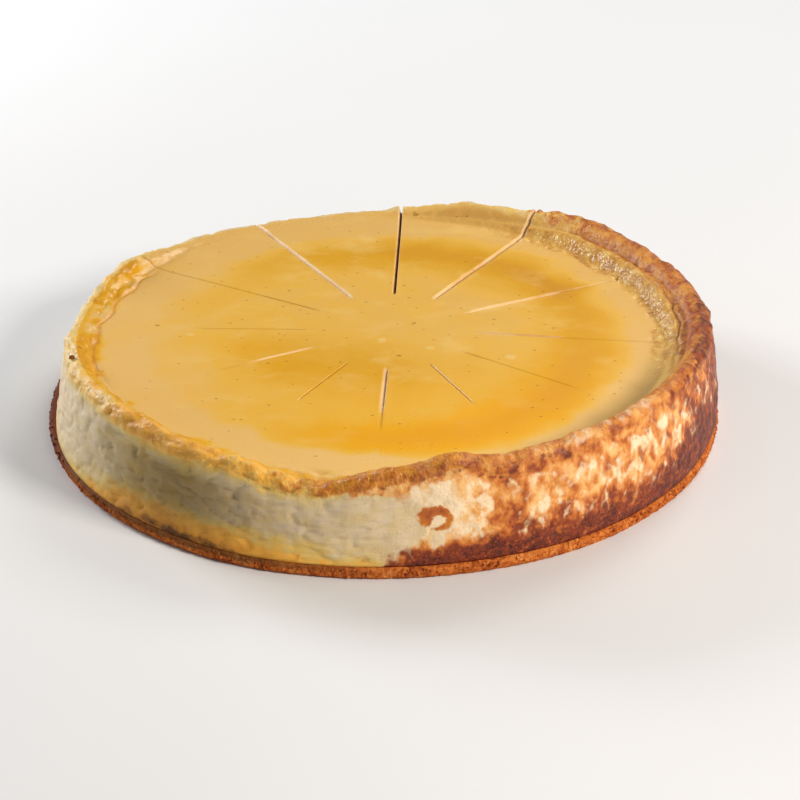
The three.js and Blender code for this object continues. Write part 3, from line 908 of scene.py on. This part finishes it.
class CheesecakeFilling(bpy.types.PropertyGroup):
    custard_level: length_property("Custard Level", "Height of the smooth top above the surface", 31.5)
    rim_roll: length_property("Rim Roll", "Half the width of the rolled rim", 4)
    border: colour_property("Border", "Custard next to the rim", "#E0B260")
    # A lit copy of the border, for the painted light at the front
    lit_border: colour_property("Sunny Border", "Custard next to the rim at the front", "#ECC072")
    straw: colour_property("Straw", "Palest custard of the top", "#E5B246")
    amber: colour_property("Amber", "Glazed ring of the top", "#DAA012")
    deep_amber: colour_property("Deep Amber", "Darkest glaze of the top", "#CE9010")
    # Lit copies of the top's colours, painted where the lamps fall at the front
    lit_straw: colour_property("Sunny Straw", "Palest custard at the front", "#EBB53A")
    lit_amber: colour_property("Sunny Amber", "Glazed ring at the front", "#EEAB02")
    lit_deep: colour_property("Sunny Deep", "Darkest glaze at the front", "#E8A204")
    # Painted sheen and highlights of the glossy top
    painted_sheen: colour_property("Milky", "Cloudy spots of the top", "#EDC878")
    fleck: colour_property("Fleck", "Specks in the top", "#7A4A12")
    cream: colour_property("Cream", "Unbrowned side", "#E1CBA9")
    ivory: colour_property("Ivory", "Side that has just begun to colour", "#DFC692")
    butter: colour_property("Butter", "Yellowed side and rim", "#EBC66E")
    ochre: colour_property("Ochre", "Lightly baked side and rim", "#FAB94A")
    honey_brown: colour_property("Honey Brown", "Well baked edge of the rim", "#D89232")
    dark_ochre: colour_property("Dark Ochre", "Darkest folds of the pale side", "#6A3E14")
    glaze: colour_property("Glaze", "Syrupy skin along the crest", "#E89E2E")
    dark_glaze: colour_property("Dark Glaze", "Thicker parts of that skin", "#CC7C22")
    # Painted shade: the colour laid where the side and the pool lie in shade
    painted_shade_tone: colour_property("Khaki", "Dull, damp part of the pale side", "#846734")
    window: colour_property("Window", "Pale patches of the browned side", "#F7DEB9")
    crest: colour_property("Crest", "Top of the rim on the browned side", "#E29C40")
    peach: colour_property("Peach", "Palest part of the browned side", "#F0BC78")
    apricot: colour_property("Apricot", "Light brown of the browned side", "#DE9448")
    caramel: colour_property("Caramel", "Caramelised skin", "#C26A28")
    russet: colour_property("Russet", "Red-brown skin", "#8E3C18")
    maroon: colour_property("Maroon", "Hard-baked skin", "#6C2814")
    scorched: colour_property("Scorched", "Darkest skin", "#38120C")
    wet_skin: colour_property("Wet Skin", "Damp skin of the shelf inside the rim", "#D6A04C")
    wet_dark: colour_property("Wet Hollows", "Darker hollows of that shelf", "#B27434")
    flesh: colour_property("Cut Flesh", "Custard that a knife laid open", "#F5D9AA")
    flesh_shade: colour_property("Cut Shade", "Its rougher parts", "#E2AE6C")
    # Painted shade at the bottoms of the cuts
    slit: colour_property("Slit", "Bottom of a cut", "#6E4410")


class CheesecakeBase(bpy.types.PropertyGroup):
    slip: length_property("Slip", "How much further out the base shows on the low side", 0.8)
    edge: length_property("Edge", "How far the edge draws in at its top and bottom", 1.2)
    grain: length_property("Grain", "How far single crumbs stand out at the edge", 0.45)
    grain_size: length_property("Grain Size", "Width of a crumb in the pressed edge", 1.3)
    toasted: colour_property("Toasted", "Darkest crumbs", "#6C260E")
    biscuit: colour_property("Biscuit", "Most of the base", "#BC6228")
    pale_crumb: colour_property("Pale Crumb", "Lighter crumbs", "#D8823C")
    sandy: colour_property("Sandy", "Lightest crumbs", "#E6AE6C")
    # Custard-stained biscuit, darkened further as painted shade under the pale side
    soaked_and_shaded: colour_property("Soaked", "Biscuit that took up custard, under the pale side", "#704824")


class CheesecakeCrumbs(bpy.types.PropertyGroup):
    density: bpy.props.FloatProperty(
        name="Density", description="Crumbs for each square metre of the base's edge", min=0, default=420000)
    smallest: length_property("Smallest", "Radius of the smallest crumbs", 0.25)
    largest: length_property("Largest", "Radius of the largest crumbs", 0.85)
    seed: bpy.props.IntProperty(name="Seed", description="Changes the scatter", min=0, default=7)


class CheesecakeStage(bpy.types.PropertyGroup):
    floor: colour_property("Floor", "Colour of the studio floor", "#EAEBED")
    key: power_property("Key Light", "front right", 14.5)
    fill: power_property("Left Light", "back left", 14)
    back: power_property("Back Light", "back right", 5)
    sky: bpy.props.FloatProperty(name="Room Light", description="Strength of the light from all round",
                                 min=0, default=0.2)
    distance: length_property("Camera Distance", "From the camera to the cake's middle", 945)
    elevation: bpy.props.FloatProperty(
        name="Camera Elevation", description="How steeply the camera looks down", subtype="ANGLE",
        unit="ROTATION", default=math.radians(27.5))
    lens: bpy.props.FloatProperty(name="Lens", description="Focal length of the camera",
                                  subtype="DISTANCE_CAMERA", unit="CAMERA", default=109.8)


class CHEESECAKE_OT_filling(bpy.types.Operator):
    """Make the custard filling with its rim, cuts and browned side"""
    bl_idname = "cheesecake.filling"
    bl_label = "Custard Filling"

    def execute(self, context):
        mesh = build_filling()
        piece = bpy.data.objects.new("custard_filling_baked", mesh)
        context.scene.collection.objects.link(piece)
        mesh.materials.append(custard_material(context.scene.cheesecake_filling))
        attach(piece, "root")
        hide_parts("custard_filling")
        return {"FINISHED"}


class CHEESECAKE_OT_base(bpy.types.Operator):
    """Make the biscuit base with its crumbly edge"""
    bl_idname = "cheesecake.base"
    bl_label = "Biscuit Base"

    def execute(self, context):
        s = context.scene.cheesecake_base
        tree = base_tree(biscuit_material("pressed biscuit", s))
        piece = made_by_nodes("biscuit_base_baked", tree, {
            "Radius": (BASE_HIGH.x - BASE_LOW.x) / 2, "Thickness": BASE_HIGH.z - BASE_LOW.z, "Slip": s.slip,
            "Edge": s.edge, "Grain": s.grain, "Grain Size": s.grain_size, "Columns": 1400, "Rows": 9})
        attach(piece, "root")
        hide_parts("biscuit_base")
        return {"FINISHED"}


class CHEESECAKE_OT_crumbs(bpy.types.Operator):
    """Scatter loose crumbs over the base's edge, and put one on the rim"""
    bl_idname = "cheesecake.crumbs"
    bl_label = "Crumbs"

    def execute(self, context):
        s = context.scene.cheesecake_crumbs
        tree = crumb_tree(biscuit_material("toasted crumb", context.scene.cheesecake_base),
                          bpy.data.objects["biscuit_base_baked"])
        turn, radius, height = math.radians(193.25), 119.1 * MM, 35.3 * MM
        piece = made_by_nodes("crumbs", tree, {
            "Density": s.density, "Smallest": s.smallest, "Largest": s.largest, "Seed": s.seed,
            "Stray Place": (radius * math.cos(turn), radius * math.sin(turn), height),
            "Stray Size": 1.5 * MM})
        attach(piece, "root")
        return {"FINISHED"}


class CHEESECAKE_OT_stage(bpy.types.Operator):
    """Set up the floor, the studio lights and the camera"""
    bl_idname = "cheesecake.stage"
    bl_label = "Studio"

    def execute(self, context):
        scene, s = context.scene, context.scene.cheesecake_stage
        half = 4.0  # of the floor's width
        mesh = bpy.data.meshes.new("floor")
        corners = [(-half, -half, 0), (half, -half, 0), (half, half, 0), (-half, half, 0)]
        mesh.from_pydata(corners, [], [(0, 1, 2, 3)])
        floor = bpy.data.objects.new("floor", mesh)
        scene.collection.objects.link(floor)
        mesh.materials.append(card_material(s))

        world = bpy.data.worlds.new("studio")
        world.use_nodes = True
        world.node_tree.nodes["Background"].inputs["Color"].default_value = linear("#FBFBFA")
        world.node_tree.nodes["Background"].inputs["Strength"].default_value = s.sky
        scene.world = world

        lights = [  # name, power, azimuth, elevation, distance, size, colour
            ("key_light", s.key, 325, 32, 1.3, 0.35, "#FFF6EA"),
            ("left_light", s.fill, 142, 18, 1.3, 0.5, "#FFFFFF"),
            ("back_light", s.back, 58, 42, 1.3, 0.5, "#FFFFFF"),
        ]
        middle = Vector((0, 0, 20 * MM))
        for name, power, azimuth, elevation, distance, size, colour in lights:
            data = bpy.data.lights.new(name, "AREA")
            data.energy, data.size, data.color = power, size, linear(colour)[:3]
            lamp = bpy.data.objects.new(name, data)
            scene.collection.objects.link(lamp)
            a, e = math.radians(azimuth), math.radians(elevation)
            toward = Vector((math.cos(e) * math.cos(a), math.cos(e) * math.sin(a), math.sin(e)))
            lamp.location = middle + distance * toward
            lamp.rotation_euler = (middle - lamp.location).to_track_quat("-Z", "Y").to_euler()

        data = bpy.data.cameras.new("camera")
        data.lens, data.sensor_width = s.lens, 36
        camera = bpy.data.objects.new("camera", data)
        scene.collection.objects.link(camera)
        aim = Vector((5.8, 1.2, 2.3)) * MM
        camera.location = s.distance * Vector((0, -math.cos(s.elevation), math.sin(s.elevation)))
        camera.rotation_euler = (aim - camera.location).to_track_quat("-Z", "Y").to_euler()
        scene.camera = camera
        scene.view_settings.view_transform = "Standard"
        return {"FINISHED"}


class CHEESECAKE_PT_panel(bpy.types.Panel):
    bl_idname = "CHEESECAKE_PT_panel"
    bl_label = "Cheesecake"
    bl_space_type = "VIEW_3D"
    bl_region_type = "UI"
    bl_category = "Cheesecake"

    def draw(self, context):
        for operator, group in STEPS:
            box = self.layout.box()
            box.operator(operator)
            settings = getattr(context.scene, group)
            for name in settings.bl_rna.properties.keys():
                if name not in ("rna_type", "name"):
                    box.prop(settings, name)


GROUPS = {
    "cheesecake_filling": CheesecakeFilling,
    "cheesecake_base": CheesecakeBase,
    "cheesecake_crumbs": CheesecakeCrumbs,
    "cheesecake_stage": CheesecakeStage,
}
OPERATORS = (CHEESECAKE_OT_stage, CHEESECAKE_OT_filling, CHEESECAKE_OT_base, CHEESECAKE_OT_crumbs)
STEPS = (
    ("cheesecake.stage", "cheesecake_stage"),
    ("cheesecake.filling", "cheesecake_filling"),
    ("cheesecake.base", "cheesecake_base"),
    ("cheesecake.crumbs", "cheesecake_crumbs"),
)


def register():
    for group in (*GROUPS.values(), *OPERATORS, CHEESECAKE_PT_panel):
        bpy.utils.register_class(group)
    for name, group in GROUPS.items():
        setattr(bpy.types.Scene, name, bpy.props.PointerProperty(type=group))


def unregister():
    for name in GROUPS:
        delattr(bpy.types.Scene, name)
    for group in reversed((*GROUPS.values(), *OPERATORS, CHEESECAKE_PT_panel)):
        bpy.utils.unregister_class(group)


def main():
    register()
    bpy.ops.cheesecake.stage()
    bpy.ops.cheesecake.filling()
    bpy.ops.cheesecake.base()
    bpy.ops.cheesecake.crumbs()


if __name__ == "__main__":
    main()
